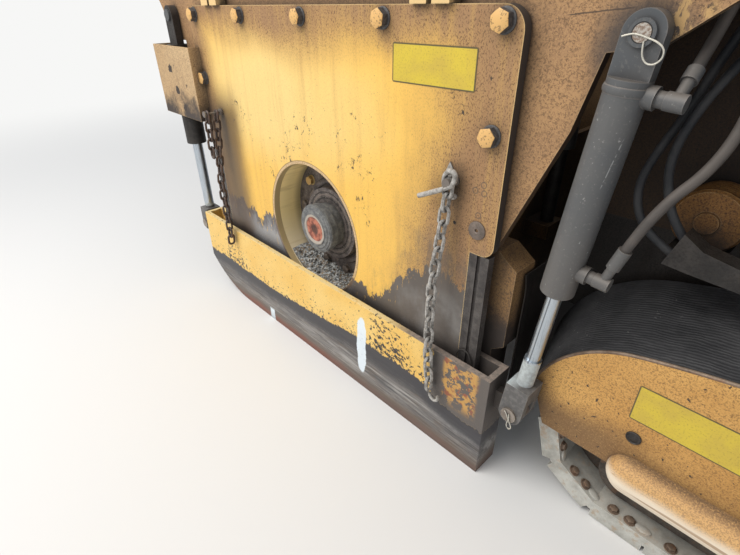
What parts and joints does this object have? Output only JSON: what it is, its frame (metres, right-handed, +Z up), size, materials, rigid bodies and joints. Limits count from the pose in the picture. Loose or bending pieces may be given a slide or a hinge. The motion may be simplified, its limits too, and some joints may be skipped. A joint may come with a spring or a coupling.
{
  "type": "cold planer cutter housing and rear crawler section",
  "caption": "Lower rear section of a cold planer: cutter drum in its housing between side plates, with sliding skis, lift cylinders, moldboard, frame and crawlers on sliding legs",
  "frame": {"origin": "on the ground under the middle of the section's box", "axes": "+Z up, X along the machine with the crawlers at +X and the drum at -X, Y across it"},
  "size_m": [4.31, 2.6296, 2.01],
  "materials": {
    "yellow": "worn",
    "grey": "satin",
    "dark_steel": "rough",
    "steel": "worn",
    "chrome": "polished",
    "rubber": "matt"
  },
  "bodies": {
    "frame": {"side_web_left": "yellow", "side_web_right": "yellow", "cover_plate_left": "yellow", "cover_plate_right": "yellow", "drum_sleeve_left": "yellow", "drum_sleeve_right": "yellow", "bearing_flange_left": "dark_steel", "bearing_flange_right": "dark_steel", "guide_bars_left": "dark_steel", "guide_bars_right": "dark_steel", "top_pins_left": "steel", "top_pins_right": "steel", "front_barrel_left": "dark_steel", "front_barrel_right": "dark_steel", "cylinder_guard_left": "yellow", "cylinder_guard_right": "yellow", "leg_sleeve_left": "yellow", "leg_sleeve_right": "yellow", "front_cross_member": "yellow", "rear_cross_member": "yellow", "moldboard_beam": "yellow", "deck_plate": "grey", "chassis_box": "yellow", "drum_hood": "yellow", "throat_wall": "yellow", "moldboard_barrels": "grey", "hook_chains": "steel", "housing_corners": "yellow"},
    "drum": {"drum_shaft": "steel", "drum_shell": "dark_steel", "drum_picks": "steel"},
    "moldboard": {"moldboard": "yellow", "moldboard_rods": "chrome"},
    "ski_left": {"ski_left": "yellow", "ski_pins_left": "steel", "front_rod_left": "chrome"},
    "lift_barrel_left": {"lift_barrel_left": "grey", "lift_hoses_left": "rubber"},
    "lift_rod_left": {"lift_rod_left": "chrome"},
    "crawler_left": {"crawler_track_left": "dark_steel", "crawler_frame_left": "grey", "crawler_wheels_left": "dark_steel", "crawler_leg_left": "grey", "crawler_fender_left": "yellow", "fender_rubber_left": "rubber", "bay_hoses_left": "rubber"},
    "ski_right": {"ski_right": "yellow", "ski_pins_right": "steel", "front_rod_right": "chrome"},
    "lift_barrel_right": {"lift_barrel_right": "grey", "lift_hoses_right": "rubber"},
    "lift_rod_right": {"lift_rod_right": "chrome"},
    "crawler_right": {"crawler_track_right": "dark_steel", "crawler_frame_right": "grey", "crawler_wheels_right": "dark_steel", "crawler_leg_right": "grey", "crawler_fender_right": "yellow", "fender_rubber_right": "rubber", "bay_hoses_right": "rubber"}
  },
  "joints": [
    {"name": "drum_spin", "type": "hinge", "parent": "frame", "child": "drum", "pos_m": [-0.625, 0, 0.639], "axis": [0, 1, 0], "continuous": true},
    {"name": "moldboard_lift", "type": "slide", "parent": "frame", "child": "moldboard", "axis": [0, 0, 1], "range_m": [0, 0.25]},
    {"name": "ski_lift_left", "type": "slide", "parent": "frame", "child": "ski_left", "axis": [0, 0, 1], "range_m": [0, 0.25]},
    {"name": "barrel_tilt_left", "type": "hinge", "parent": "frame", "child": "lift_barrel_left", "pos_m": [0.53, -1.205, 1.444], "axis": [0, 1, 0], "range_deg": [-0.5, 2.5], "deforming": ["lift_hoses_left"]},
    {"name": "rod_slide_left", "type": "slide", "parent": "lift_barrel_left", "child": "lift_rod_left", "axis": [0.0879, 0, 0.9961], "range_m": [-0.01, 0.26]},
    {"name": "crawler_lift_left", "type": "slide", "parent": "frame", "child": "crawler_left", "axis": [0, 0, 1], "range_m": [-0.1, 0.25], "deforming": ["bay_hoses_left"]},
    {"name": "ski_lift_right", "type": "slide", "parent": "frame", "child": "ski_right", "axis": [0, 0, 1], "range_m": [0, 0.25]},
    {"name": "barrel_tilt_right", "type": "hinge", "parent": "frame", "child": "lift_barrel_right", "pos_m": [0.53, 1.205, 1.444], "axis": [0, 1, 0], "range_deg": [-0.5, 2.5], "deforming": ["lift_hoses_right"]},
    {"name": "rod_slide_right", "type": "slide", "parent": "lift_barrel_right", "child": "lift_rod_right", "axis": [0.0879, 0, 0.9961], "range_m": [-0.01, 0.26]},
    {"name": "crawler_lift_right", "type": "slide", "parent": "frame", "child": "crawler_right", "axis": [0, 0, 1], "range_m": [-0.1, 0.25], "deforming": ["bay_hoses_right"]}
  ],
  "couplings": [
    {"joint": "barrel_tilt_left", "follows": "ski_lift_left", "rad_per_m": 0.1029},
    {"joint": "rod_slide_left", "follows": "ski_lift_left", "ratio": 0.995},
    {"joint": "barrel_tilt_right", "follows": "ski_lift_right", "rad_per_m": 0.1029},
    {"joint": "rod_slide_right", "follows": "ski_lift_right", "ratio": 0.995}
  ]
}
